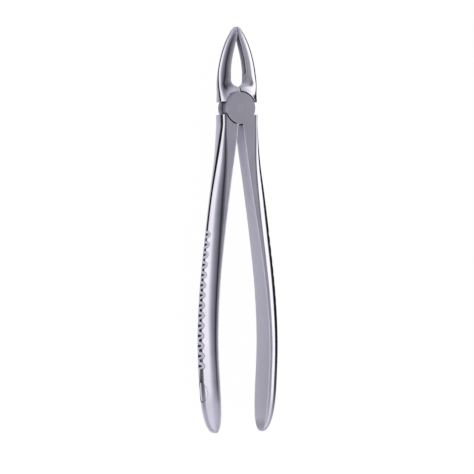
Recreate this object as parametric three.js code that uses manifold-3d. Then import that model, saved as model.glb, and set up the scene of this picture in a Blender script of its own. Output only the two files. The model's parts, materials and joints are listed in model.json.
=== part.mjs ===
// Extraction forceps, English pattern, straight, for upper front teeth.
//
// Two one-piece forged halves cross in a lap joint and turn on one flush rivet. Each half runs
// from a beak on one side, through a half-thickness disc at the joint, to the handle on the
// other side. The two halves are the same forging, turned 180 degrees about the tool's length.
//
// Frame, in millimetres: X across the tool, Y along it with the beaks at +Y, Z up out of the
// joint's front face. The tool lies flat, and the origin is at the middle of its underside.

import * as THREE from 'three';
import { mergeVertices } from 'three/addons/utils/BufferGeometryUtils.js';
import Module from 'manifold-3d';

const wasm = await Module();
wasm.setup();

// ---- Driving dimensions ----------------------------------------------------------------

const overallLength = 175;
const beakReach = 35.2; // pivot to beak tips
const handleReach = overallLength - beakReach; // pivot to the butt of the handles
const jointHalf = 4.5; // half the thickness across the closed joint
const handleHalfWidth = 7; // half the widest part of a handle, along Z

// Lap joint
const lapGap = 0.3; // between the two discs
const discRadius = 6.8;
const recessRadius = 7.35; // cut in each half for the other half's disc
const bossRadius = 7.4; // flat land round the disc, on the beak side
const bossFillet = 5.4; // run of the cove from the land down to the beak
const beakShoulder = 2.65; // the beak's stop face, ahead of the pivot
const handleShoulder = 2.87; // the handle's stop face, behind the pivot
const closedGap = 0.36; // between the beaks where they meet

// Rivet: a straight shank, headed over into a countersink at both faces
const rivetHeadRadius = 2.25;
const rivetShankRadius = 1.75;
const rivetHeadDepth = 0.9;
const rivetClearance = 0.06;

// Beak
const crotch = 9; // where the opening between the beaks starts, ahead of the pivot
const crotchDepth = 3; // length of the rounded bottom of that opening
const openingHalf = 3.72; // half the widest gap between the beaks
const beakEdge = 0.3;
const hollowStart = 14.4; // the ground hollow in the gripping face
const hollowEnd = 33.6;
const hollowRun = 1.4; // length over which the hollow reaches its depth
const hollowDepth = 0.75;
const hollowRadius = 2.3;

// Handle
const handleEdge = 0.5;
const buttLength = 21.8; // the part that rounds off to the butt
const buttPower = 2.6;
const buttInset = 0.2; // share of the lost thickness that the inner face gives up

// Grip grooves across the outer face of each handle, plunged by a round-edged grinding wheel
const grooveCount = 14;
const groovePitch = 4.32;
const firstGroove = 54.45; // behind the pivot
const grooveRadius = 1.6;
const grooveDepth = 1.3;
const wheelRadius = 15;

// Plain round stamping pad on one handle, left blank
const padCentre = 122; // behind the pivot
const padRadius = 4.2;
const padDepth = 0.2;

// Mesh fineness
const crownSteps = 7;
const edgeSteps = 2;
const faceSteps = 2;
const roundSegments = 64;

// ---- Outlines --------------------------------------------------------------------------

// A smooth curve through a few [distance, value] knots.
function curve(knots) {
  const last = knots.length - 1;
  const slopes = knots.map((knot, i) => {
    const before = knots[Math.max(i - 1, 0)];
    const after = knots[Math.min(i + 1, last)];
    return (after[1] - before[1]) / (after[0] - before[0]);
  });
  return (distance) => {
    const found = knots.findIndex((knot) => knot[0] >= distance);
    const i = Math.min(Math.max(found < 0 ? last : found, 1), last) - 1;
    const run = knots[i + 1][0] - knots[i][0];
    const t = THREE.MathUtils.clamp((distance - knots[i][0]) / run, 0, 1);
    const rise = knots[i + 1][1] - knots[i][1];
    const bend = (1 - t) * (slopes[i] * run - rise) - t * (slopes[i + 1] * run - rise);
    return knots[i][1] + t * rise + t * (1 - t) * bend;
  };
}

// Handle, by distance behind the pivot
const handleInner = curve([[2, 0.9], [8, 1.1], [36, 5.15], [64, 9.2], [83, 11.25], [102, 12.05],
  [121, 11.25], [140, 9.8]]);
const handleThickness = curve([[2, 7.6], [8, 7.35], [24, 7.15], [40, 7.3], [62, 6.9], [83, 6.55],
  [104, 6.3], [118, 6.3], [140, 6.3]]);
const handleHalf = curve([[2, jointHalf], [30, jointHalf], [45, 4.75], [61, 5.4], [83, 6.25],
  [104, handleHalfWidth - 0.1], [118, handleHalfWidth], [140, handleHalfWidth]]);
const handleLand = curve([[2, 5.6], [8, 5.5], [22, 3.3], [40, 1.9], [61, 1.2], [83, 0.9], [140, 0.9]]);
const handlePower = curve([[2, 3.8], [8, 3.6], [22, 2.4], [40, 2], [61, 1.85], [140, 1.85]]);

// Beak, by distance ahead of the pivot
const beakGap = curve([[12, openingHalf], [16.3, 3.6], [20.6, 3.05], [25, 2.05], [28.4, 1.1],
  [31, 0.38], [32.3, closedGap / 2], [beakReach, closedGap / 2]]);
const beakOuter = curve([[2, 8.6], [6, 8.75], [10, 9.05], [14, 8.95], [18, 8.4], [22, 7.5],
  [26, 6.25], [29, 5], [31.85, 3.5], [33.65, 2.4], [34.6, 1.6], [beakReach, 0.9]]);
const beakHalf = curve([[2, 2.7], [12, 2.7], [16, 2.5], [21, 2.4], [25, 2.35], [28.4, 2.2],
  [31.85, 1.87], [33.65, 1.45], [34.6, 1.05], [beakReach, 0.6]]);
// Squareness of the crowned outer face, flattest on the boss
const beakPower = curve([[2, 5], [8, 4], [14, 2.5], [20, 2.4], [beakReach, 2.4]]);

// How much of its full size a handle keeps towards the rounded butt, from 1 down to 0.
function buttFactor(distance) {
  const u = THREE.MathUtils.clamp((distance - (handleReach - buttLength)) / buttLength, 0, 1);
  return Math.pow(1 - Math.pow(u, buttPower), 1 / buttPower);
}

// Half the gap between the beaks: closed below the crotch, a rounded bottom, then the opening.
function halfGap(distance) {
  const u = (crotch + crotchDepth - distance) / crotchDepth;
  const open = u < 0 ? beakGap(distance) : openingHalf * Math.sqrt(Math.max(1 - u * u, 0));
  return Math.max(open, closedGap / 2);
}

// Depth of the ground hollow in the gripping face, along the beak.
function hollowAt(distance) {
  const room = Math.min(distance - hollowStart, hollowEnd - distance) / hollowRun;
  const u = 1 - THREE.MathUtils.clamp(room, 0, 1);
  return hollowDepth * (1 - u * u);
}

// ---- Cross-sections and lofts ----------------------------------------------------------

// One cross-section as [x, z] points, clockwise with z up. The inner face is flat or hollow, the
// lands are flat, and the outer face is a crowned superellipse.
function section({ inner, land, outer, half, edge, power, hollow = 0 }) {
  const upper = [];
  const floor = hollowRadius - hollow;
  for (let i = 0; i <= faceSteps; i++) {
    const z = (half - edge) * i / (faceSteps + 1);
    const sunk = hollow > 0 ? Math.sqrt(Math.max(hollowRadius ** 2 - z * z, 0)) - floor : 0;
    upper.push([inner + Math.max(sunk, 0), z]);
  }
  for (let i = 0; i <= edgeSteps; i++) {
    const angle = Math.PI - Math.PI / 2 * i / edgeSteps;
    upper.push([inner + edge + edge * Math.cos(angle), half - edge + edge * Math.sin(angle)]);
  }
  const crown = outer - inner - land;
  for (let i = 0; i <= crownSteps; i++) {
    const angle = Math.PI / 2 * (1 - i / crownSteps);
    const x = inner + land + crown * Math.pow(Math.cos(angle), 2 / power);
    upper.push([x, half * Math.pow(Math.sin(angle), 2 / power)]);
  }
  upper.at(-1)[1] = 0;
  const lower = upper.slice(1, -1).reverse().map(([x, z]) => [x, -z]);
  return [...upper, ...lower];
}

// A closed body through rings of [x, y, z] points that follow each other in the +Y direction.
function loft(rings) {
  const size = rings[0].length;
  const positions = rings.flat(2);
  const index = [];
  const addCap = (ring, row, turn) => {
    const middle = [0, 1, 2].map((axis) => ring.reduce((sum, p) => sum + p[axis], 0) / size);
    const centre = positions.push(...middle) / 3 - 1;
    for (let k = 0; k < size; k++) {
      const edge = [row * size + k, row * size + (k + 1) % size];
      index.push(centre, edge[turn], edge[1 - turn]);
    }
  };
  for (let row = 0; row < rings.length - 1; row++) {
    for (let k = 0; k < size; k++) {
      const next = (k + 1) % size;
      const [a, b] = [row * size + k, row * size + next];
      index.push(a, b, b + size, a, b + size, a + size);
    }
  }
  addCap(rings[0], 0, 1);
  addCap(rings.at(-1), rings.length - 1, 0);
  const geometry = new THREE.BufferGeometry();
  geometry.setAttribute('position', new THREE.Float32BufferAttribute(positions, 3));
  geometry.setIndex(index);
  return geometry;
}

// Stations from start to end, closer together towards the end by the given power.
function stations(start, end, count, crowding) {
  return Array.from({ length: count + 1 }, (_, i) => {
    return start + (end - start) * (1 - Math.pow(1 - i / count, crowding));
  });
}

// The handle on the -X side, thinner all over by the inset.
function handleBody(inset = 0) {
  const distances = [
    ...stations(handleShoulder, handleReach - buttLength, 27, 1),
    ...stations(handleReach - buttLength, handleReach - 0.05, 12, 2).slice(1),
  ];
  const rings = distances.reverse().map((distance) => {
    const keep = buttFactor(distance);
    const full = handleThickness(distance);
    const inner = handleInner(distance) + buttInset * full * (1 - keep);
    const shape = section({
      inner: inner + inset,
      land: handleLand(distance) * keep,
      outer: inner + full * keep - inset,
      half: handleHalf(distance) * keep - inset,
      edge: handleEdge * keep,
      power: handlePower(distance),
    });
    return shape.map(([x, z]) => [-x, -distance, -z]);
  });
  return loft(rings);
}

// The beak on the +X side. Near the joint its lands rise to the flat boss round the disc.
function beakBody() {
  const distances = [
    ...stations(beakShoulder, crotch - 0.02, 7, 1.3),
    ...stations(crotch + crotchDepth, crotch + 0.02, 6, 2).reverse(),
    ...stations(crotch + crotchDepth, hollowStart, 3, 1).slice(1),
    ...stations(hollowStart, hollowEnd, 18, 1).slice(1),
    ...stations(hollowEnd, beakReach, 4, 1).slice(1),
  ];
  const rings = distances.map((distance) => {
    const inner = halfGap(distance);
    const shape = section({
      inner,
      land: beakGap(distance) - inner + beakEdge,
      outer: beakOuter(distance),
      half: beakHalf(distance),
      edge: Math.min(beakEdge, (beakOuter(distance) - inner) / 4),
      power: beakPower(distance),
      hollow: hollowAt(distance),
    });
    return shape.map(([x, z]) => [x, distance, z * bossRise(x, distance)]);
  });
  return loft(rings);
}

// How far the boss lifts the beak's surface at a point, as a factor on its height.
function bossRise(x, distance) {
  const u = THREE.MathUtils.clamp((Math.hypot(x, distance) - bossRadius) / bossFillet, 0, 1);
  const body = beakHalf(distance);
  return (body + (jointHalf - body) * (1 - u) ** 2) / body;
}

// ---- Solids ----------------------------------------------------------------------------

// A closed three.js geometry as a solid that can be joined and cut.
function solid(geometry) {
  geometry.deleteAttribute('normal');
  geometry.deleteAttribute('uv');
  const merged = mergeVertices(geometry);
  return new wasm.Manifold(new wasm.Mesh({
    numProp: 3,
    vertProperties: new Float32Array(merged.attributes.position.array),
    triVerts: new Uint32Array(merged.index.array),
  }));
}

// The surface of a solid as a three.js geometry.
function surface(body) {
  const mesh = body.getMesh();
  const geometry = new THREE.BufferGeometry();
  geometry.setAttribute('position', new THREE.Float32BufferAttribute(mesh.vertProperties, 3));
  geometry.setIndex(Array.from(mesh.triVerts));
  geometry.computeVertexNormals();
  return geometry;
}

// A round disc about the pivot, from one height to another.
function disc(radius, bottom, top) {
  const geometry = new THREE.CylinderGeometry(radius, radius, top - bottom, roundSegments);
  geometry.rotateX(Math.PI / 2);
  geometry.translate(0, 0, (bottom + top) / 2);
  return solid(geometry);
}

// The rivet's shape about the pivot, grown by the clearance and run past both faces by the excess.
function rivetGeometry(clearance, excess) {
  const head = rivetHeadRadius + clearance;
  const shank = rivetShankRadius + clearance;
  const neck = jointHalf - rivetHeadDepth;
  const upper = [[shank, neck], [head, jointHalf]];
  if (excess > 0) {
    upper.push([head, jointHalf + excess]);
  }
  upper.push([0, jointHalf + excess]);
  const lower = upper.map(([r, z]) => [r, -z]).reverse();
  const points = [...lower, ...upper].map(([r, z]) => new THREE.Vector2(r, z));
  return new THREE.LatheGeometry(points, roundSegments / 2).rotateX(Math.PI / 2);
}

// The cutters for the row of grip grooves across the outer face of the -X handle.
function gripGrooves() {
  return Array.from({ length: grooveCount }, (_, i) => {
    const distance = firstGroove + i * groovePitch;
    const outer = handleInner(distance) + handleThickness(distance);
    const geometry = new THREE.TorusGeometry(wheelRadius - grooveRadius, grooveRadius, 20, 96);
    geometry.rotateX(Math.PI / 2);
    geometry.translate(grooveDepth - wheelRadius - outer, -distance, 0);
    return solid(geometry);
  });
}

// The cutter for the blank stamping pad: a round skin of even depth off the handle's outer face.
function stampingPad() {
  const reach = handleInner(padCentre) + handleThickness(padCentre);
  const geometry = new THREE.CylinderGeometry(padRadius, padRadius, 4, roundSegments / 2);
  geometry.rotateZ(Math.PI / 2);
  geometry.translate(-reach, -padCentre, 0);
  return solid(geometry).subtract(solid(handleBody(padDepth)));
}

// One half of the forceps: beak on the +X side, disc at the back of the joint, handle at -X.
function forcepsHalf(stamped) {
  let handle = solid(handleBody());
  for (const groove of gripGrooves()) {
    handle = handle.subtract(groove);
  }
  if (stamped) {
    handle = handle.subtract(stampingPad());
  }
  const beyond = jointHalf + 1;
  const recess = disc(recessRadius, -lapGap / 2, beyond);
  const body = solid(beakBody()).add(handle).subtract(recess);
  const joined = body.add(disc(discRadius, -jointHalf, -lapGap / 2));
  return surface(joined.subtract(solid(rivetGeometry(rivetClearance, 1))));
}

// ---- Materials and assembly ------------------------------------------------------------

const steel = new THREE.MeshStandardMaterial({ color: 0xb9b8c2, metalness: 1, roughness: 0.3 });
const steelBack = new THREE.MeshStandardMaterial({ color: 0xb4b3be, metalness: 1, roughness: 0.3 });
const rivetSteel = new THREE.MeshStandardMaterial({ color: 0xa9a8b2, metalness: 1, roughness: 0.4 });

function piece(name, geometry, material) {
  const mesh = new THREE.Mesh(geometry, material);
  mesh.name = name;
  return mesh;
}

const rearHalf = piece('rear_half', forcepsHalf(true), steelBack);
const frontHalf = piece('front_half', forcepsHalf(false), steel);
frontHalf.rotation.y = Math.PI;
const pivotRivet = piece('pivot_rivet', rivetGeometry(0, 0), rivetSteel);

const forceps = new THREE.Group();
forceps.add(rearHalf, frontHalf, pivotRivet);
forceps.position.set(0, (handleReach - beakReach) / 2, handleHalfWidth);

export default forceps;
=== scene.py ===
"""Extraction forceps, English pattern: the finished looks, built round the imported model.

Each forged half is made again as a fine mesh from its driving dimensions: a beak and a handle
are lofted, the lap joint is turned and cut, and the edges are broken as a polisher breaks them.
Lengths are in metres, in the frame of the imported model: X across the tool, Y along it with the
beaks at +Y, Z up out of the front face of the joint.
"""

import json
import math

import bpy
import numpy as np
from mathutils import Matrix, Vector


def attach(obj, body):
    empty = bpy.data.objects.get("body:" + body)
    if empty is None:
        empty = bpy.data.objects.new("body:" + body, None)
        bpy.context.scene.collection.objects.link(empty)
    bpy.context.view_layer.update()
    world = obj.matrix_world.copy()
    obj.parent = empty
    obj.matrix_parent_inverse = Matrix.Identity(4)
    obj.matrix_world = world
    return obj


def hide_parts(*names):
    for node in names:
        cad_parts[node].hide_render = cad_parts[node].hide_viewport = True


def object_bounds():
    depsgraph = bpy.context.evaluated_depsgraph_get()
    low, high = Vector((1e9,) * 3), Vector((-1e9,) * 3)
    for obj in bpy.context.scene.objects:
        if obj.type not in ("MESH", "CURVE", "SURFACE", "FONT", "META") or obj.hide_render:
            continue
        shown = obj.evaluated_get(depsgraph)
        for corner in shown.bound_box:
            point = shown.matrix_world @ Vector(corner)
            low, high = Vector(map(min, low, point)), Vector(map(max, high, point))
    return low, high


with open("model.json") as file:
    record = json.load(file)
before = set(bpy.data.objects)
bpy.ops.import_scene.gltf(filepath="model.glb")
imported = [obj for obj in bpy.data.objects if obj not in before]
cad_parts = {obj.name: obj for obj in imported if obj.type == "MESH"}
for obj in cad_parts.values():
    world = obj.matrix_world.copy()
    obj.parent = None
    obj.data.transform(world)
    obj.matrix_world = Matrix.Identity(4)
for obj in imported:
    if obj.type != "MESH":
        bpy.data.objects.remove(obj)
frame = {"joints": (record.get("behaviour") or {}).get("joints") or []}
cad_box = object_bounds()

MM = 0.001

# ---- Driving dimensions ------------------------------------------------------------------

PIVOT = Vector(frame["joints"][0]["pos_m"])
BEAK_REACH = cad_box[1].y - PIVOT.y
HANDLE_REACH = PIVOT.y - cad_box[0].y
JOINT_HALF = 4.5 * MM  # half the thickness across the closed joint
HANDLE_HALF_WIDTH = (cad_box[1].z - cad_box[0].z) / 2  # half the widest part, along Z

# Lap joint
LAP_GAP = 0.3 * MM  # between the two discs
DISC_RADIUS = 6.8 * MM
RECESS_RADIUS = 7.35 * MM  # cut in each half for the other half's disc
BOSS_RADIUS = 7.4 * MM  # flat land round the disc, on the beak side
BOSS_FILLET = 5.4 * MM  # run of the cove from the land down to the beak
BEAK_SHOULDER = 2.65 * MM  # the beak's stop face, ahead of the pivot
HANDLE_SHOULDER = 2.87 * MM  # the handle's stop face, behind the pivot
CLOSED_GAP = 0.36 * MM  # between the beaks where they meet
BROKEN_EDGE = 0.12 * MM  # radius that polishing leaves on the edges of the joint

# Rivet: a straight shank, headed over into a countersink at both faces
RIVET_HEAD_RADIUS = 2.25 * MM
RIVET_SHANK_RADIUS = 1.75 * MM
RIVET_HEAD_DEPTH = 0.9 * MM
RIVET_CLEARANCE = 0.03 * MM
RIVET_EDGE = 0.04 * MM

# Beak
CROTCH = 9 * MM  # where the opening between the beaks starts, ahead of the pivot
CROTCH_DEPTH = 3 * MM  # length of the rounded bottom of that opening
OPENING_HALF = 3.72 * MM  # half the widest gap between the beaks
BEAK_EDGE = 0.3 * MM
HOLLOW_START = 14.4 * MM  # the ground hollow in the gripping face
HOLLOW_END = 33.6 * MM
HOLLOW_RUN = 1.4 * MM  # length over which the hollow reaches its depth
HOLLOW_DEPTH = 0.75 * MM
HOLLOW_RADIUS = 2.3 * MM
TIP_EDGE = 0.25 * MM  # radius of the rounded tip

# Handle
HANDLE_EDGE = 0.5 * MM
BUTT_LENGTH = 21.8 * MM  # the part that rounds off to the butt
BUTT_POWER = 2.6
BUTT_INSET = 0.2  # share of the lost thickness that the inner face gives up

# Grip grooves across the outer face of each handle, plunged by a round-edged grinding wheel
GROOVE_COUNT = 14
GROOVE_PITCH = 4.32 * MM
FIRST_GROOVE = 54.45 * MM  # behind the pivot
GROOVE_RADIUS = 1.6 * MM
GROOVE_DEPTH = 1.3 * MM
WHEEL_RADIUS = 15 * MM
GROOVE_RIM = 0.12 * MM  # softness of the rim of a groove
WALL_SLOPE = 4  # how steeply the cut runs out beside a groove
LAST_GROOVE = FIRST_GROOVE + (GROOVE_COUNT - 0.5) * GROOVE_PITCH

# Blank stamping pad on the rear half's handle
PAD_CENTRE = 122 * MM  # behind the pivot
PAD_RADIUS = 4.2 * MM
PAD_DEPTH = 0.2 * MM
PAD_CUTTER_HALF = 2 * MM  # half the height of its round cutter

# Mesh fineness: points across a section, and steps along the tool
FACE_STEPS = 8
EDGE_STEPS = 6
LAND_STEPS = 3
CROWN_STEPS = 34
FINE_STEP = 0.14 * MM
PLAIN_STEP = 0.5 * MM
TURNED_STEPS = 192
ARC_STEPS = 6  # points along the arc of a broken edge
BUTT_STEPS = 70
CROTCH_STEPS = 30
TIP_STEPS = 8
CUT_EXCESS = 1 * MM  # how far a cutter runs past the joint's faces
AXIS_RADIUS = 0.01 * MM  # how near to its axis a turned profile starts and ends
BUTT_LEFT = 0.002 * MM  # how far short of the butt's point the last ring stands
SHARP_ANGLE = math.radians(32)
FLAT_WEIGHT = 60  # how far flats win over edges in the shading

# Where each finish reaches, and where shade is painted into the recesses
HANDLE_SATIN_FADE = 0.5 * MM  # past the lands of a handle
BEAK_SATIN_RUN = 0.7 * MM  # past the edge of the gripping face
BEAK_SATIN_FADE = 1.8 * MM
HOLLOW_HALF = 1.5 * MM  # from the middle of the hollow to near its rim
HOLLOW_FADE = 0.3 * MM
SUNK_FADE = 0.1 * MM  # past the bottom of the hollow
JOINT_MARGIN = 0.05 * MM  # past the recess, so that its wall counts as part of the joint
WALL_TOP = 1.5 * BROKEN_EDGE  # how far below the joint's faces its walls start
BLAST_START = 18 * MM  # behind the pivot, where the inner face is fully blasted
BLAST_RUN = 10 * MM  # length over which it gets there
BLAST_FADE = 0.2 * MM
# Painted shade: a thin dark line just inside the rim of each groove, where shade falls
RIM_DEPTH = 0.07 * MM  # how deep in a groove its dark rim lies
RIM_HALF = 0.03 * MM
RIM_FADE = 0.04 * MM
RIM_PAINTED_SHADE = 0.5
# The wall of the pad gets the same painted shade
PAD_WALL_HALF = 0.01 * MM
PAD_WALL_FADE = 0.03 * MM
# Painted shade: how dark the hollow's bottom and the joint's walls are painted, as shares of the
# near-black steel
HOLLOW_PAINTED_SHADE = 0.8
JOINT_PAINTED_SHADE = 0.85
TINY = 1e-9  # keeps a division from meeting zero at the butt

# Steel
STEEL_DARK = (0.57, 0.56, 0.66)
STEEL_LIGHT = (0.64, 0.625, 0.73)
RIVET_DARK = (0.62, 0.605, 0.71)
RIVET_LIGHT = (0.69, 0.675, 0.78)
BLASTED_STEEL = (0.79, 0.78, 0.87)
# Near-black colour painted as shade into the grooves' rims, the hollows, the pad's wall and the
# joint's walls
PAINTED_SHADE_STEEL = (0.03, 0.03, 0.045)
POLISHED_ROUGHNESS = (0.09, 0.15)
SATIN_ROUGHNESS = (0.38, 0.46)
BLASTED_ROUGHNESS = (0.58, 0.66)
RIVET_ROUGHNESS = (0.36, 0.44)
NOISE_RANGE = (0.3, 0.7)  # what most of a noise lies between
CLOUDS = 90  # waves a metre of the steel's uneven tone
RIVET_CLOUDS = 700
SCRATCHES = 9000
SCRATCH_STRETCH = (1, 0.08, 1)  # drawn out along the tool
GRAIN = 14000
WAVES = 260
SCRATCH_HEIGHT = 0.0012 * MM
GRAIN_HEIGHT = 0.001 * MM
WAVE_HEIGHT = 0.012 * MM

# Studio: what a reflection sees round the tool's length, as (degrees from -X up over +Z,
# brightness). White panels stand left and right, with dark card between them and the camera's
# own side.
STUDIO = [
    (-180, 0.02), (-108, 0.02), (-102, 0.8), (-66, 0.8), (-61, 0.02), (-29, 0.02), (-23, 1.45),
    (20, 1.45), (34, 0.9), (46, 0.54), (60, 0.36), (74, 0.24), (84, 0.1), (90, 0.02), (94, 0.06),
    (99, 0.17), (114, 0.21), (131, 0.24), (138, 1.7), (170, 1.7), (178, 0.02), (180, 0.02),
]
STUDIO_PEAK = 1.7
# The room past the ends of the tool: direction along Y, the Y share of a view where it starts and
# where it is strongest, how far it then hides the panels, and its even brightness.
BEAK_END_ROOM = (1, 0.4, 0.85, 1, 0.8)
HANDLE_END_ROOM = (-1, 0.03, 0.32, 0.75, 0.85)
PANEL_TINT = np.array((1.0, 0.975, 0.92))  # the white panels are a little warmer
ROOM_TINT = np.array((0.98, 0.98, 1.03))
FLOOR_HALF = 8.0  # half its side
FLOOR_GREY = 0.05
FLOOR_GLOW = 0.97

# Camera
VIEW_TILT = math.radians(25)  # from straight above towards -X
VIEW_ROLL = math.radians(-0.27)
VIEW_DISTANCE = 1.0
VIEW_WIDTH = 0.2046  # what the frame takes in at the tool
VIEW_SHIFT = Vector((-0.13, -3.25, 0)) * MM  # of the frame's middle from the tool's
VIEW_CLIP = 0.01
SENSOR_WIDTH = 36


# ---- Outlines ----------------------------------------------------------------------------

def curve(knots, unit=MM):
    """A smooth curve through (distance in mm, value) knots, as a function of metres."""
    at = np.array([knot[0] for knot in knots]) * MM
    value = np.array([knot[1] for knot in knots]) * unit
    order = np.arange(len(knots))
    before = np.maximum(order - 1, 0)
    after = np.minimum(order + 1, len(knots) - 1)
    slope = (value[after] - value[before]) / (at[after] - at[before])

    def evaluate(distance):
        i = np.clip(np.searchsorted(at, distance), 1, len(knots) - 1) - 1
        run = at[i + 1] - at[i]
        t = np.clip((distance - at[i]) / run, 0, 1)
        rise = value[i + 1] - value[i]
        bend = (1 - t) * (slope[i] * run - rise) - t * (slope[i + 1] * run - rise)
        return value[i] + t * rise + t * (1 - t) * bend

    return evaluate


# Handle, by distance behind the pivot
handle_inner = curve([(2, 0.9), (8, 1.1), (36, 5.15), (64, 9.2), (83, 11.25), (102, 12.05),
                      (121, 11.25), (140, 9.8)])
handle_thickness = curve([(2, 7.6), (8, 7.35), (24, 7.15), (40, 7.3), (62, 6.9), (83, 6.55),
                          (104, 6.3), (118, 6.3), (140, 6.3)])
handle_half = curve([(2, 4.5), (30, 4.5), (45, 4.75), (61, 5.4), (83, 6.25), (104, 6.9),
                     (118, 7), (140, 7)])
handle_land = curve([(2, 5.6), (8, 5.5), (22, 3.3), (40, 1.9), (61, 1.2), (83, 0.9), (140, 0.9)])
handle_power = curve([(2, 3.8), (8, 3.6), (22, 2.4), (40, 2), (61, 1.85), (140, 1.85)], unit=1)

# Beak, by distance ahead of the pivot
beak_gap = curve([(12, 3.72), (16.3, 3.6), (20.6, 3.05), (25, 2.05), (28.4, 1.1), (31, 0.38),
                  (32.3, 0.18), (35.2, 0.18)])
beak_outer = curve([(2, 8.6), (6, 8.75), (10, 9.05), (14, 8.95), (18, 8.4), (22, 7.5), (26, 6.25),
                    (29, 5), (31.85, 3.5), (33.65, 2.4), (34.6, 1.6), (35.2, 0.9)])
beak_half = curve([(2, 2.7), (12, 2.7), (16, 2.5), (21, 2.4), (25, 2.35), (28.4, 2.2),
                   (31.85, 1.87), (33.65, 1.45), (34.6, 1.05), (35.2, 0.6)])
beak_power = curve([(2, 5), (8, 4), (14, 2.5), (20, 2.4), (35.2, 2.4)], unit=1)


def butt_factor(distance):
    """How much of its full size a handle keeps towards the rounded butt, from 1 down to 0."""
    u = np.clip((distance - (HANDLE_REACH - BUTT_LENGTH)) / BUTT_LENGTH, 0, 1)
    return (1 - u ** BUTT_POWER) ** (1 / BUTT_POWER)


def half_gap(distance):
    """Half the gap between the beaks: closed, then a rounded bottom, then the opening."""
    u = (CROTCH + CROTCH_DEPTH - distance) / CROTCH_DEPTH
    rounded = OPENING_HALF * np.sqrt(np.maximum(1 - u * u, 0))
    gap = np.where(u < 0, beak_gap(distance), rounded)
    return np.maximum(gap, CLOSED_GAP / 2)


def hollow_at(distance):
    """Depth of the ground hollow in the gripping face, along the beak."""
    room = np.minimum(distance - HOLLOW_START, HOLLOW_END - distance) / HOLLOW_RUN
    u = 1 - np.clip(room, 0, 1)
    return HOLLOW_DEPTH * (1 - u * u)


def boss_rise(x, distance):
    """How far the boss lifts the beak's surface, as a factor on its height."""
    u = np.clip((np.hypot(x, distance) - BOSS_RADIUS) / BOSS_FILLET, 0, 1)
    body = beak_half(distance)
    return (body + (JOINT_HALF - body) * (1 - u) ** 2) / body


def rounding(distance, radius):
    """How far a surface pulls in this close to the end of a body whose edge has that radius."""
    short = np.clip(radius - distance, 0, radius)
    return radius - np.sqrt(radius ** 2 - short ** 2)


# ---- Cross-sections and lofts ------------------------------------------------------------

def section(inner, land, outer, half, edge, power, hollow):
    """The (x, z) points of one ring for each station: inner face, edges, lands, crowned back."""
    z_face = (half - edge) * np.linspace(0, 1, FACE_STEPS, endpoint=False)
    floor = HOLLOW_RADIUS - hollow
    sunk = np.sqrt(np.maximum(HOLLOW_RADIUS ** 2 - z_face ** 2, 0)) - floor
    x_face = inner + np.maximum(np.where(hollow > 0, sunk, 0), 0)

    turn = np.linspace(math.pi, math.pi / 2, EDGE_STEPS)
    x_edge = inner + edge * (1 + np.cos(turn))
    z_edge = half - edge + edge * np.sin(turn)

    along = np.linspace(0, 1, LAND_STEPS + 1)[1:-1]
    x_land = inner + edge + (land - edge) * along
    z_land = half + 0 * x_land

    turn = np.linspace(math.pi / 2, 0, CROWN_STEPS)
    x_crown = inner + land + (outer - inner - land) * np.clip(np.cos(turn), 0, 1) ** (2 / power)
    z_crown = half * np.sin(turn) ** (2 / power)

    x_upper = np.hstack([x_face, x_edge, x_land, x_crown])
    z_upper = np.hstack([z_face, z_edge, z_land, z_crown])
    x = np.hstack([x_upper, x_upper[:, -2:0:-1]])
    z = np.hstack([z_upper, -z_upper[:, -2:0:-1]])
    return x, z


def loft(name, rings):
    """A closed mesh object through an array of rings, stations by points by (x, y, z)."""
    count, size = rings.shape[:2]
    points = rings.reshape(-1, 3)
    row, column = np.meshgrid(np.arange(count - 1), np.arange(size), indexing="ij")
    following = (column + 1) % size
    corners = [row * size + column, row * size + following,
               (row + 1) * size + following, (row + 1) * size + column]
    quads = np.stack(corners, axis=-1).reshape(-1, 4).tolist()
    caps = [list(range(size))[::-1], list(range((count - 1) * size, count * size))]
    return mesh_object(name, points, quads + caps)


def mesh_object(name, points, faces):
    """A mesh object with outward faces, linked to the scene."""
    mesh = bpy.data.meshes.new(name)
    mesh.from_pydata(points.tolist(), [], faces)
    mesh.validate()
    obj = bpy.data.objects.new(name, mesh)
    bpy.context.scene.collection.objects.link(obj)
    if signed_volume(mesh) < 0:
        mesh.flip_normals()
    return obj


def signed_volume(mesh):
    """The volume inside a closed mesh, negative where its faces point inwards."""
    mesh.calc_loop_triangles()
    points = np.array([vertex.co for vertex in mesh.vertices])
    index = np.array([triangle.vertices for triangle in mesh.loop_triangles])
    a, b, c = (points[index[:, k]] for k in range(3))
    return np.einsum("ij,ij->i", a, np.cross(b, c)).sum() / 6


def turned(name, profile):
    """A closed solid of revolution about the pivot's axis from an open (radius, height) profile."""
    angles = np.linspace(0, 2 * math.pi, TURNED_STEPS, endpoint=False)
    radius, height = np.array(profile).T
    rings = np.stack([
        np.outer(radius, np.cos(angles)),
        np.outer(radius, np.sin(angles)),
        np.outer(height, np.ones(TURNED_STEPS)),
    ], axis=-1)
    return loft(name, rings)


def cut(obj, tool, operation):
    """Joins the tool to an object or cuts it away, and uses the tool up."""
    modifier = obj.modifiers.new("cut", "BOOLEAN")
    modifier.operation = operation
    modifier.solver = "MANIFOLD"
    modifier.object = tool
    graph = bpy.context.evaluated_depsgraph_get()
    mesh = bpy.data.meshes.new_from_object(obj.evaluated_get(graph), depsgraph=graph)
    obj.modifiers.clear()
    obj.data = mesh
    bpy.data.objects.remove(tool)


# ---- The forged half ---------------------------------------------------------------------

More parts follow.
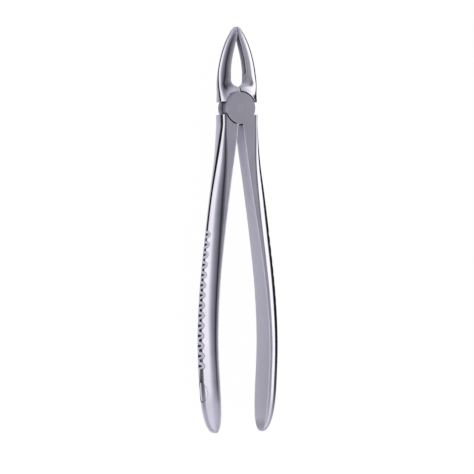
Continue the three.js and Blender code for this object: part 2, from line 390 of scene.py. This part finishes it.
def handle_stations():
    """Distances behind the pivot: close together at the shoulder, the grooves and the butt."""
    grooves_start = FIRST_GROOVE - GROOVE_PITCH / 2
    grooves_end = grooves_start + GROOVE_COUNT * GROOVE_PITCH
    butt_start = HANDLE_REACH - BUTT_LENGTH
    edge = HANDLE_SHOULDER + BROKEN_EDGE * (1 - np.cos(np.linspace(0, math.pi / 2, ARC_STEPS)))
    turn = np.linspace(0, math.pi / 2, BUTT_STEPS)
    butt = butt_start + BUTT_LENGTH * np.sin(turn)
    return np.unique(np.concatenate([
        edge,
        np.arange(edge[-1] + PLAIN_STEP / 2, grooves_start, PLAIN_STEP),
        np.arange(grooves_start, grooves_end, FINE_STEP),
        butt[butt > grooves_end + FINE_STEP / 2][:-1],
        [HANDLE_REACH - BUTT_LEFT],
    ]))


def groove_floor(distance, outer, z):
    """How far out the ground surface of the nearest groove lies, across the handle."""
    number = np.clip(np.round((distance - FIRST_GROOVE) / GROOVE_PITCH), 0, GROOVE_COUNT - 1)
    off = np.abs(distance - FIRST_GROOVE - number * GROOVE_PITCH)
    edge = np.sqrt(np.maximum(GROOVE_RADIUS ** 2 - off ** 2, 0))
    reach = WHEEL_RADIUS - GROOVE_RADIUS + edge
    wheel = outer - GROOVE_DEPTH + WHEEL_RADIUS
    run_out = WALL_SLOPE * np.maximum(off - GROOVE_RADIUS, 0)
    return wheel - np.sqrt(reach ** 2 - z ** 2) + run_out


def soft_minimum(a, b, softness):
    """The smaller of two surfaces, with the edge where they meet rounded off."""
    blend = np.clip(0.5 + 0.5 * (b - a) / softness, 0, 1)
    return b + (a - b) * blend - softness * blend * (1 - blend)


def handle_rings(inset=0.0, grooved=True):
    """The rings of the handle on the -X side, thinner all over by the inset."""
    distance = handle_stations()[:, None]
    keep = butt_factor(distance)
    full = handle_thickness(distance)
    inner = handle_inner(distance) + BUTT_INSET * full * (1 - keep)
    outer = inner + full * keep
    pulled = rounding(distance - HANDLE_SHOULDER, BROKEN_EDGE)
    x, z = section(
        inner=inner + inset + pulled,
        land=handle_land(distance) * keep,
        outer=outer - inset - pulled,
        half=np.minimum(handle_half(distance), HANDLE_HALF_WIDTH) * keep - inset - pulled,
        edge=HANDLE_EDGE * keep,
        power=handle_power(distance),
        hollow=0 * distance,
    )
    if grooved:
        x = soft_minimum(x, groove_floor(distance, outer, z), GROOVE_RIM)
    return np.stack([-x, -distance + 0 * x, z], axis=-1)


def beak_stations():
    """Distances ahead of the pivot: close together at the shoulder, the crotch and the tip."""
    edge = BEAK_SHOULDER + BROKEN_EDGE * (1 - np.cos(np.linspace(0, math.pi / 2, ARC_STEPS)))
    turn = np.linspace(0.01, math.pi / 2, CROTCH_STEPS)
    crotch = CROTCH + CROTCH_DEPTH * (1 - np.cos(turn))
    tip = BEAK_REACH - TIP_EDGE * (1 - np.sin(np.linspace(0, math.pi / 2, TIP_STEPS)))
    return np.unique(np.concatenate([
        edge,
        np.arange(edge[-1] + FINE_STEP, CROTCH, 2 * FINE_STEP),
        crotch,
        np.arange(CROTCH + CROTCH_DEPTH + FINE_STEP, tip[0], FINE_STEP),
        tip,
    ]))


def beak_rings():
    """The rings of the beak on the +X side, with its boss round the joint."""
    distance = beak_stations()[:, None]
    inner = half_gap(distance)
    outer = beak_outer(distance)
    pulled = rounding(distance - BEAK_SHOULDER, BROKEN_EDGE)
    pulled = pulled + rounding(BEAK_REACH - distance, TIP_EDGE)
    x, z = section(
        inner=inner,
        land=beak_gap(distance) - inner + BEAK_EDGE,
        outer=outer - pulled,
        half=beak_half(distance) - pulled,
        edge=np.minimum(BEAK_EDGE, (outer - inner) / 4),
        power=beak_power(distance),
        hollow=hollow_at(distance),
    )
    return np.stack([x, distance + 0 * x, z * boss_rise(x, distance)], axis=-1)


def quarter_turn(radius, centre, start):
    """Points of a quarter circle in (radius, height), from the start angle up by 90 degrees."""
    turn = start + np.linspace(0, math.pi / 2, ARC_STEPS)
    return [(centre[0] + radius * math.cos(a), centre[1] + radius * math.sin(a)) for a in turn]


def joint_disc():
    """The half-thickness disc that a half turns on, with the edge of its outer face broken."""
    r = BROKEN_EDGE
    top = -LAP_GAP / 2
    profile = [(AXIS_RADIUS, -JOINT_HALF)]
    profile += quarter_turn(r, (DISC_RADIUS - r, -JOINT_HALF + r), -math.pi / 2)
    profile += [(DISC_RADIUS, top), (AXIS_RADIUS, top)]
    return turned("disc", profile)


def recess_cutter():
    """What is cut from a half for the other half's disc, flared to break the rim."""
    beyond = JOINT_HALF + CUT_EXCESS
    flare = BROKEN_EDGE
    profile = [
        (AXIS_RADIUS, -LAP_GAP / 2),
        (RECESS_RADIUS, -LAP_GAP / 2),
        (RECESS_RADIUS, JOINT_HALF - flare),
        (RECESS_RADIUS + flare, JOINT_HALF + 0.01 * MM),
        (RECESS_RADIUS + flare, beyond),
        (AXIS_RADIUS, beyond),
    ]
    return turned("recess", profile)


def rivet_profile(clearance, edge, excess):
    """The flush rivet in (radius, height): a straight shank headed into two countersinks."""
    head = RIVET_HEAD_RADIUS + clearance
    shank = RIVET_SHANK_RADIUS + clearance
    neck = JOINT_HALF - RIVET_HEAD_DEPTH
    upper = [(shank, neck), (head, JOINT_HALF - abs(edge)), (head - edge, JOINT_HALF)]
    if excess:
        upper.append((head - edge, JOINT_HALF + excess))
    upper.append((AXIS_RADIUS, JOINT_HALF + excess))
    lower = [(radius, -height) for radius, height in reversed(upper)]
    return lower + upper


def stamping_pad():
    """What is cut from the handle for the blank pad: a round skin of even depth."""
    reach = float(handle_inner(PAD_CENTRE) + handle_thickness(PAD_CENTRE))
    pad = turned("pad", [
        (AXIS_RADIUS, -PAD_CUTTER_HALF),
        (PAD_RADIUS, -PAD_CUTTER_HALF),
        (PAD_RADIUS, PAD_CUTTER_HALF),
        (AXIS_RADIUS, PAD_CUTTER_HALF),
    ])
    place = Matrix.Translation((-reach, -PAD_CENTRE, 0)) @ Matrix.Rotation(math.pi / 2, 4, "Y")
    pad.data.transform(place)
    cut(pad, loft("pad_floor", handle_rings(inset=PAD_DEPTH, grooved=False)), "DIFFERENCE")
    return pad


def near_share(value, limit, fade):
    """1 below the limit, falling to 0 across the fade beyond it."""
    return 1 - np.clip((value - limit) / fade, 0, 1)


def finish_and_shade_shares(points, stamped):
    """The finish at each point of a half, as shares from 0 to 1 of what is not polished back.

    Satin is the ground flats, and blasted the inner faces of the handles. Dull is painted shade:
    the rims of the grooves, the hollows, the wall of the pad and the walls of the joint are painted
    near to black where shade falls, and left unpolished, as the polishing wheel doesn't reach them.
    """
    x, y, z = np.abs(points.T[0]), points.T[1], np.abs(points.T[2])
    handle = y < 0
    inner = handle_inner(-y)
    land = inner + handle_land(-y)
    gripping = half_gap(y) + BEAK_EDGE
    at_joint = np.hypot(x, y) < RECESS_RADIUS + JOINT_MARGIN
    in_joint = at_joint & (z < JOINT_HALF - WALL_TOP)
    hollow = near_share(z, HOLLOW_HALF, HOLLOW_FADE) * hollow_at(y)
    satin = near_share(x, np.where(handle, land, gripping + BEAK_SATIN_RUN + hollow),
                       np.where(handle, HANDLE_SATIN_FADE, BEAK_SATIN_FADE))
    blasted = near_share(x, inner + HANDLE_EDGE / 2, BLAST_FADE)
    blasted = np.where(handle, blasted * near_share(y, -BLAST_START, BLAST_RUN), 0)

    power = handle_power(-y)
    height = np.clip(z / (handle_half(-y) * butt_factor(-y) + TINY), 0, 1)
    thickness = handle_thickness(-y) * butt_factor(-y)
    crown = land + (inner + thickness - land) * (1 - height ** power) ** (1 / power)
    grooved = handle & (-y > FIRST_GROOVE - GROOVE_PITCH / 2) & (-y < LAST_GROOVE)
    cut_depth = np.where(grooved & (x > land), crown - x, 0)
    # Painted shade: a dark line just inside the rim of each groove, and on the pad's wall
    painted_shade_unpolished = RIM_PAINTED_SHADE * near_share(np.abs(cut_depth - RIM_DEPTH), RIM_HALF, RIM_FADE)
    if stamped:
        pad_wall = np.abs(np.hypot(y + PAD_CENTRE, z) - PAD_RADIUS)
        pad_wall_painted_shade = near_share(pad_wall, PAD_WALL_HALF, PAD_WALL_FADE) * (x > land)
        painted_shade_unpolished = np.maximum(painted_shade_unpolished, pad_wall_painted_shade)
    # Painted shade in the beak's hollow, darkest towards its bottom
    sunk = (x - half_gap(y)) / HOLLOW_DEPTH * near_share(x, half_gap(y) + hollow, SUNK_FADE)
    painted_shade_unpolished = np.where(handle | (hollow == 0), painted_shade_unpolished, HOLLOW_PAINTED_SHADE * np.clip(sunk, 0, 1))
    # Painted shade on the walls of the joint, between the two halves
    painted_shade_unpolished = np.where(in_joint, JOINT_PAINTED_SHADE, painted_shade_unpolished)
    return {"satin": np.where(at_joint, 1, satin), "blasted": blasted, "painted_shade_unpolished": painted_shade_unpolished}


def forged_half(name, stamped, turned_over):
    """One half of the forceps, in place. The halves are one forging, the front turned over."""
    half = loft(name, handle_rings())
    if stamped:
        cut(half, stamping_pad(), "DIFFERENCE")
    cut(half, loft("beak", beak_rings()), "UNION")
    cut(half, recess_cutter(), "DIFFERENCE")
    cut(half, joint_disc(), "UNION")
    bore = turned("bore", rivet_profile(RIVET_CLEARANCE, -RIVET_EDGE, CUT_EXCESS))
    cut(half, bore, "DIFFERENCE")
    mesh = half.data
    points = np.array([vertex.co for vertex in mesh.vertices])
    for share, values in finish_and_shade_shares(points, stamped).items():
        attribute = mesh.attributes.new(share, "FLOAT", "POINT")
        attribute.data.foreach_set("value", values.astype(np.float32))
    if turned_over:
        mesh.transform(Matrix.Rotation(math.pi, 4, "Y"))
    mesh.transform(Matrix.Translation(PIVOT))
    finish_surface(half)
    return half


def pivot_rivet():
    """The flush rivet that the halves turn on, in place."""
    rivet = turned("pivot_rivet_steel", rivet_profile(0, RIVET_EDGE, 0))
    rivet.data.transform(Matrix.Translation(PIVOT))
    finish_surface(rivet)
    return rivet


def finish_surface(obj):
    """Smooth shading with true edges kept sharp, and flats kept flat up to their borders."""
    obj.data.shade_smooth()
    obj.data.set_sharp_from_angle(angle=SHARP_ANGLE)
    weighted = obj.modifiers.new("flat_faces", "WEIGHTED_NORMAL")
    weighted.keep_sharp = True
    weighted.weight = FLAT_WEIGHT


# ---- Materials ---------------------------------------------------------------------------

def new_material(name):
    """An empty node material: its nodes, links and Principled shader."""
    material = bpy.data.materials.new(name)
    material.use_nodes = True
    nodes = material.node_tree.nodes
    return material, nodes, material.node_tree.links, nodes["Principled BSDF"]


def noise(nodes, links, scale, stretch=(1, 1, 1), detail=4):
    """Noise of that many waves a metre in the object's own space, stretched along an axis."""
    place = nodes.new("ShaderNodeTexCoord")
    mapping = nodes.new("ShaderNodeMapping")
    texture = nodes.new("ShaderNodeTexNoise")
    mapping.inputs["Scale"].default_value = stretch
    texture.inputs["Scale"].default_value = scale
    texture.inputs["Detail"].default_value = detail
    links.new(place.outputs["Object"], mapping.inputs["Vector"])
    links.new(mapping.outputs["Vector"], texture.inputs["Vector"])
    return texture.outputs["Fac"]


def spread(nodes, links, value, low, high):
    """A noise's value, over its usual range, spread from low to high."""
    node = nodes.new("ShaderNodeMapRange")
    node.inputs["From Min"].default_value = NOISE_RANGE[0]
    node.inputs["From Max"].default_value = NOISE_RANGE[1]
    node.inputs["To Min"].default_value = low
    node.inputs["To Max"].default_value = high
    links.new(value, node.inputs["Value"])
    return node.outputs["Result"]


def mix_numbers(nodes, links, factor, a, b):
    """Goes from a to b as the factor goes from 0 to 1."""
    node = nodes.new("ShaderNodeMix")
    links.new(factor, node.inputs["Factor"])
    links.new(a, node.inputs["A"])
    links.new(b, node.inputs["B"])
    return node.outputs["Result"]


def mix_colors(nodes, links, factor, color, other):
    """Goes from a linked colour to a plain one as the factor goes from 0 to 1."""
    node = nodes.new("ShaderNodeMix")
    node.data_type = "RGBA"  # its colour sockets are inputs 6 and 7, and output 2
    links.new(factor, node.inputs["Factor"])
    links.new(color, node.inputs[6])
    node.inputs[7].default_value = (*other, 1)
    return node.outputs[2]


def share_of(nodes, name):
    """A share that the mesh carries, from 0 to 1."""
    node = nodes.new("ShaderNodeAttribute")
    node.attribute_name = name
    return node.outputs["Fac"]


def tinted(nodes, links, value, dark, light):
    """A colour between dark and light by the value."""
    ramp = nodes.new("ShaderNodeValToRGB")
    for element, position, color in zip(ramp.color_ramp.elements, NOISE_RANGE, (dark, light)):
        element.position = position
        element.color = (*color, 1)
    links.new(value, ramp.inputs["Fac"])
    return ramp.outputs["Color"]


def bumped(nodes, links, height, distance, base=None):
    """A surface normal from a height, on top of another bump if one is given."""
    bump = nodes.new("ShaderNodeBump")
    bump.inputs["Strength"].default_value = 1
    bump.inputs["Distance"].default_value = distance
    links.new(height, bump.inputs["Height"])
    if base is not None:
        links.new(base, bump.inputs["Normal"])
    return bump.outputs["Normal"]


def forged_steel():
    """Stainless steel: polished backs with hairline scratches, satin flats, blasted inner faces,
    and shade painted near to black into the recesses.
    """
    material, nodes, links, shader = new_material("forged_steel")
    shader.inputs["Metallic"].default_value = 1
    satin, blasted, painted_shade_unpolished = (share_of(nodes, name) for name in ("satin", "blasted", "painted_shade_unpolished"))
    clouds = noise(nodes, links, CLOUDS, detail=3)
    cloudy = tinted(nodes, links, clouds, STEEL_DARK, STEEL_LIGHT)
    color = mix_colors(nodes, links, blasted, cloudy, BLASTED_STEEL)
    # Painted shade: the recesses are darkened near to black
    color = mix_colors(nodes, links, painted_shade_unpolished, color, PAINTED_SHADE_STEEL)
    links.new(color, shader.inputs["Base Color"])
    streaks = noise(nodes, links, SCRATCHES, stretch=SCRATCH_STRETCH)
    grain = noise(nodes, links, GRAIN)
    polished = spread(nodes, links, streaks, *POLISHED_ROUGHNESS)
    ground = spread(nodes, links, grain, *SATIN_ROUGHNESS)
    peened = spread(nodes, links, grain, *BLASTED_ROUGHNESS)
    roughness = mix_numbers(nodes, links, satin, polished, ground)
    roughness = mix_numbers(nodes, links, blasted, roughness, peened)
    roughness = mix_numbers(nodes, links, painted_shade_unpolished, roughness, ground)
    links.new(roughness, shader.inputs["Roughness"])
    scratches = bumped(nodes, links, streaks, SCRATCH_HEIGHT)
    waves = noise(nodes, links, WAVES, detail=1)
    waves = bumped(nodes, links, waves, WAVE_HEIGHT, scratches)
    links.new(waves, shader.inputs["Normal"])
    return material


def rivet_steel():
    """The rivet's lighter steel, ground flush with the joint."""
    material, nodes, links, shader = new_material("rivet_steel")
    shader.inputs["Metallic"].default_value = 1
    clouds = noise(nodes, links, RIVET_CLOUDS, detail=3)
    links.new(tinted(nodes, links, clouds, RIVET_DARK, RIVET_LIGHT), shader.inputs["Base Color"])
    grain = noise(nodes, links, GRAIN)
    links.new(spread(nodes, links, grain, *RIVET_ROUGHNESS), shader.inputs["Roughness"])
    links.new(bumped(nodes, links, grain, GRAIN_HEIGHT), shader.inputs["Normal"])
    return material


# ---- Studio ------------------------------------------------------------------------------

def studio_world():
    """Light from broad panels round the tool, and a plain pale backdrop to the camera."""
    world = bpy.data.worlds.new("studio")
    bpy.context.scene.world = world
    world.use_nodes = True
    nodes, links = world.node_tree.nodes, world.node_tree.links

    def math_node(operation, a, b=0.0):
        node = nodes.new("ShaderNodeMath")
        node.operation = operation
        for socket, value in zip(node.inputs, (a, b)):
            if isinstance(value, (int, float)):
                socket.default_value = value
            else:
                links.new(value, socket)
        return node.outputs[0]

    direction = nodes.new("ShaderNodeSeparateXYZ")
    links.new(nodes.new("ShaderNodeTexCoord").outputs["Generated"], direction.inputs[0])
    x, y, z = direction.outputs
    angle = math_node("ARCTAN2", z, math_node("MULTIPLY", x, -1.0))
    around = math_node("ADD", math_node("DIVIDE", angle, 2 * math.pi), 0.5)
    ramp = nodes.new("ShaderNodeValToRGB")
    elements = ramp.color_ramp.elements
    while len(elements) > 1:
        elements.remove(elements[-1])
    for i, (degrees, brightness) in enumerate(STUDIO):
        position = degrees / 360 + 0.5
        element = elements[0] if i == 0 else elements.new(position)
        element.position = position
        tint = PANEL_TINT if brightness > 1 else ROOM_TINT
        element.color = (*(tint * brightness / STUDIO_PEAK), 1)
    links.new(around, ramp.inputs["Fac"])

    def end_room(start, side, first, full, most, brightness):
        """Fades the room past one end of the tool in over what is there."""
        share = nodes.new("ShaderNodeMapRange")
        share.interpolation_type = "SMOOTHSTEP"
        share.inputs["From Min"].default_value = first
        share.inputs["From Max"].default_value = full
        share.inputs["To Max"].default_value = most
        links.new(math_node("MULTIPLY", y, side), share.inputs["Value"])
        plain = ROOM_TINT * brightness / STUDIO_PEAK
        return mix_colors(nodes, links, share.outputs["Result"], start, plain)

    room = end_room(ramp.outputs["Color"], *BEAK_END_ROOM)
    room = end_room(room, *HANDLE_END_ROOM)
    backdrop = (1 / STUDIO_PEAK,) * 3
    camera_ray = nodes.new("ShaderNodeLightPath").outputs["Is Camera Ray"]
    background = nodes["Background"]
    links.new(mix_colors(nodes, links, camera_ray, room, backdrop), background.inputs["Color"])
    background.inputs["Strength"].default_value = STUDIO_PEAK


def pale_floor():
    """A plain white table under the tool, lit evenly so that it shows almost no shadow."""
    corners = np.array([(-1, -1, 0), (1, -1, 0), (1, 1, 0), (-1, 1, 0)]) * FLOOR_HALF
    floor = mesh_object("floor", corners, [(0, 1, 2, 3)])
    material, _, _, shader = new_material("white_table")
    shader.inputs["Base Color"].default_value = (*[FLOOR_GREY] * 3, 1)
    shader.inputs["Roughness"].default_value = 1
    shader.inputs["Specular IOR Level"].default_value = 0
    shader.inputs["Emission Color"].default_value = (1, 1, 1, 1)
    shader.inputs["Emission Strength"].default_value = FLOOR_GLOW
    floor.data.materials.append(material)
    floor.visible_glossy = False


def camera_over_tool():
    """A long lens over the tool, tilted to its left, with the beaks at the top of the frame."""
    data = bpy.data.cameras.new("camera")
    data.sensor_width = SENSOR_WIDTH
    data.lens = SENSOR_WIDTH * VIEW_DISTANCE / VIEW_WIDTH
    data.clip_start = VIEW_CLIP
    camera = bpy.data.objects.new("camera", data)
    bpy.context.scene.collection.objects.link(camera)
    bpy.context.scene.camera = camera
    target = (cad_box[0] + cad_box[1]) / 2 + VIEW_SHIFT
    right = Vector((math.cos(VIEW_TILT), 0, math.sin(VIEW_TILT)))
    back = Vector((-math.sin(VIEW_TILT), 0, math.cos(VIEW_TILT)))
    turn = Matrix((right, Vector((0, 1, 0)), back)).transposed().to_4x4()
    place = Matrix.Translation(target + back * VIEW_DISTANCE)
    camera.matrix_world = place @ turn @ Matrix.Rotation(VIEW_ROLL, 4, "Z")


# ---- Assembly ----------------------------------------------------------------------------

def dress(obj, material, body, node):
    """Gives a piece its material, hangs it under its body and hides the imported node it stands in
    for.
    """
    obj.data.materials.clear()
    obj.data.materials.append(material)
    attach(obj, body)
    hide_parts(node)


bpy.context.scene.view_settings.view_transform = "Standard"
camera_over_tool()
studio_world()
pale_floor()

steel = forged_steel()
rear = forged_half("rear_half_steel", stamped=True, turned_over=False)
front = forged_half("front_half_steel", stamped=False, turned_over=True)
rivet = pivot_rivet()
dress(rear, steel, "rear", "rear_half")
dress(front, steel, "front", "front_half")
dress(rivet, rivet_steel(), "rear", "pivot_rivet")
